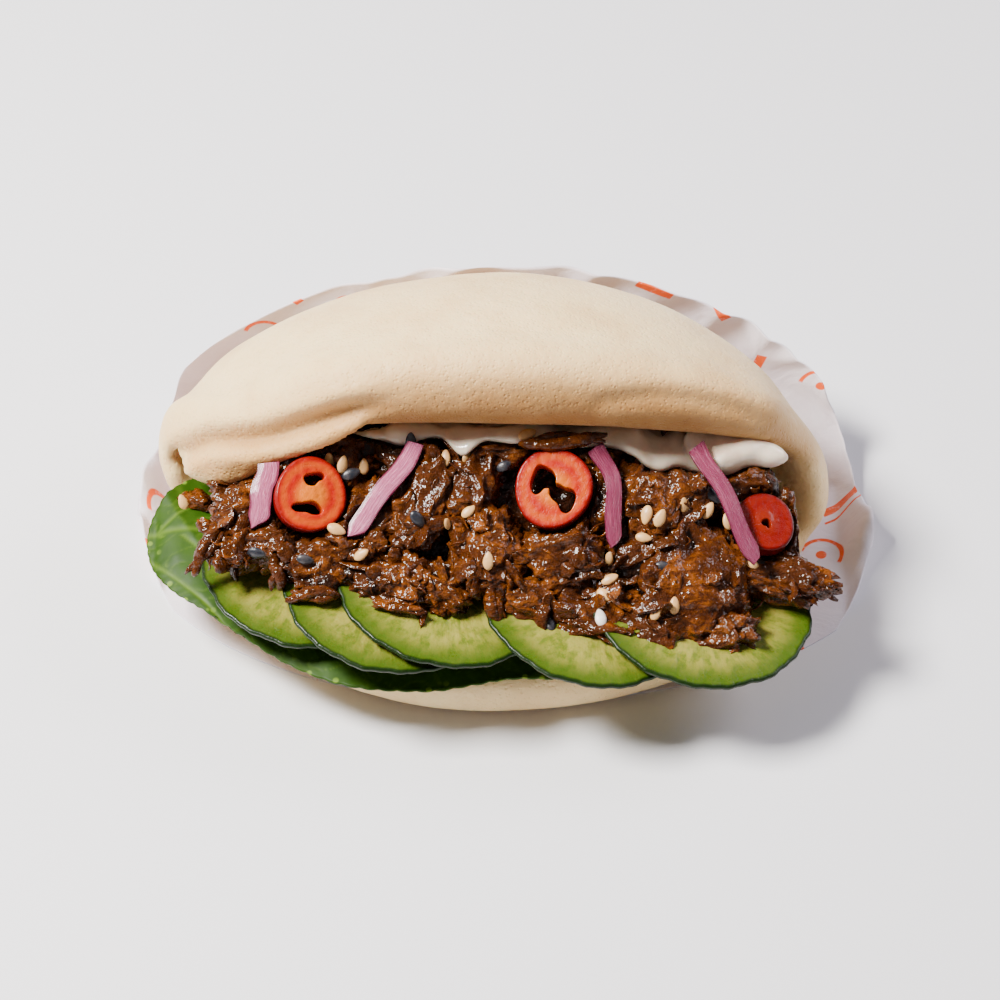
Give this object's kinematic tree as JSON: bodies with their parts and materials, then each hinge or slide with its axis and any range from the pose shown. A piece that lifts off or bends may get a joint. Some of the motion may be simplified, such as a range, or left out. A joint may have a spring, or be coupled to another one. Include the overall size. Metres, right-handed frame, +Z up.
{
  "type": "bao bun",
  "caption": "Steamed folded bun filled with braised beef, cucumber, a salad leaf, chilli, red onion and mayonnaise, lying on its side in a sheet of printed paper.",
  "frame": {"origin": "middle of the bounding box's underside, on the surface that the paper lies on", "axes": "+X along the bun, +Y from the open mouth towards the fold, +Z up"},
  "size_m": [0.1444, 0.0964, 0.0584],
  "materials": {
    "steamed_dough": "soft, finely porous",
    "greaseproof_paper": "smooth, slightly glossy, with an orange print",
    "salad_leaf_green": "satin, veined",
    "cucumber_green": "wet",
    "braised_beef": "glazed, fibrous",
    "mayonnaise_cream": "glossy",
    "chilli_red": "wet",
    "red_onion": "wet, translucent"
  },
  "bodies": {
    "root": {"bun": "steamed_dough", "paper_liner": "greaseproof_paper", "salad_leaf": "salad_leaf_green", "cucumber_1": "cucumber_green", "cucumber_2": "cucumber_green", "cucumber_3": "cucumber_green", "cucumber_4": "cucumber_green", "cucumber_5": "cucumber_green", "beef": "braised_beef", "mayonnaise": "mayonnaise_cream", "chilli_1": "chilli_red", "chilli_2": "chilli_red", "chilli_3": "chilli_red", "onion_1": "red_onion", "onion_2": "red_onion", "onion_3": "red_onion", "onion_4": "red_onion"}
  },
  "joints": []
}
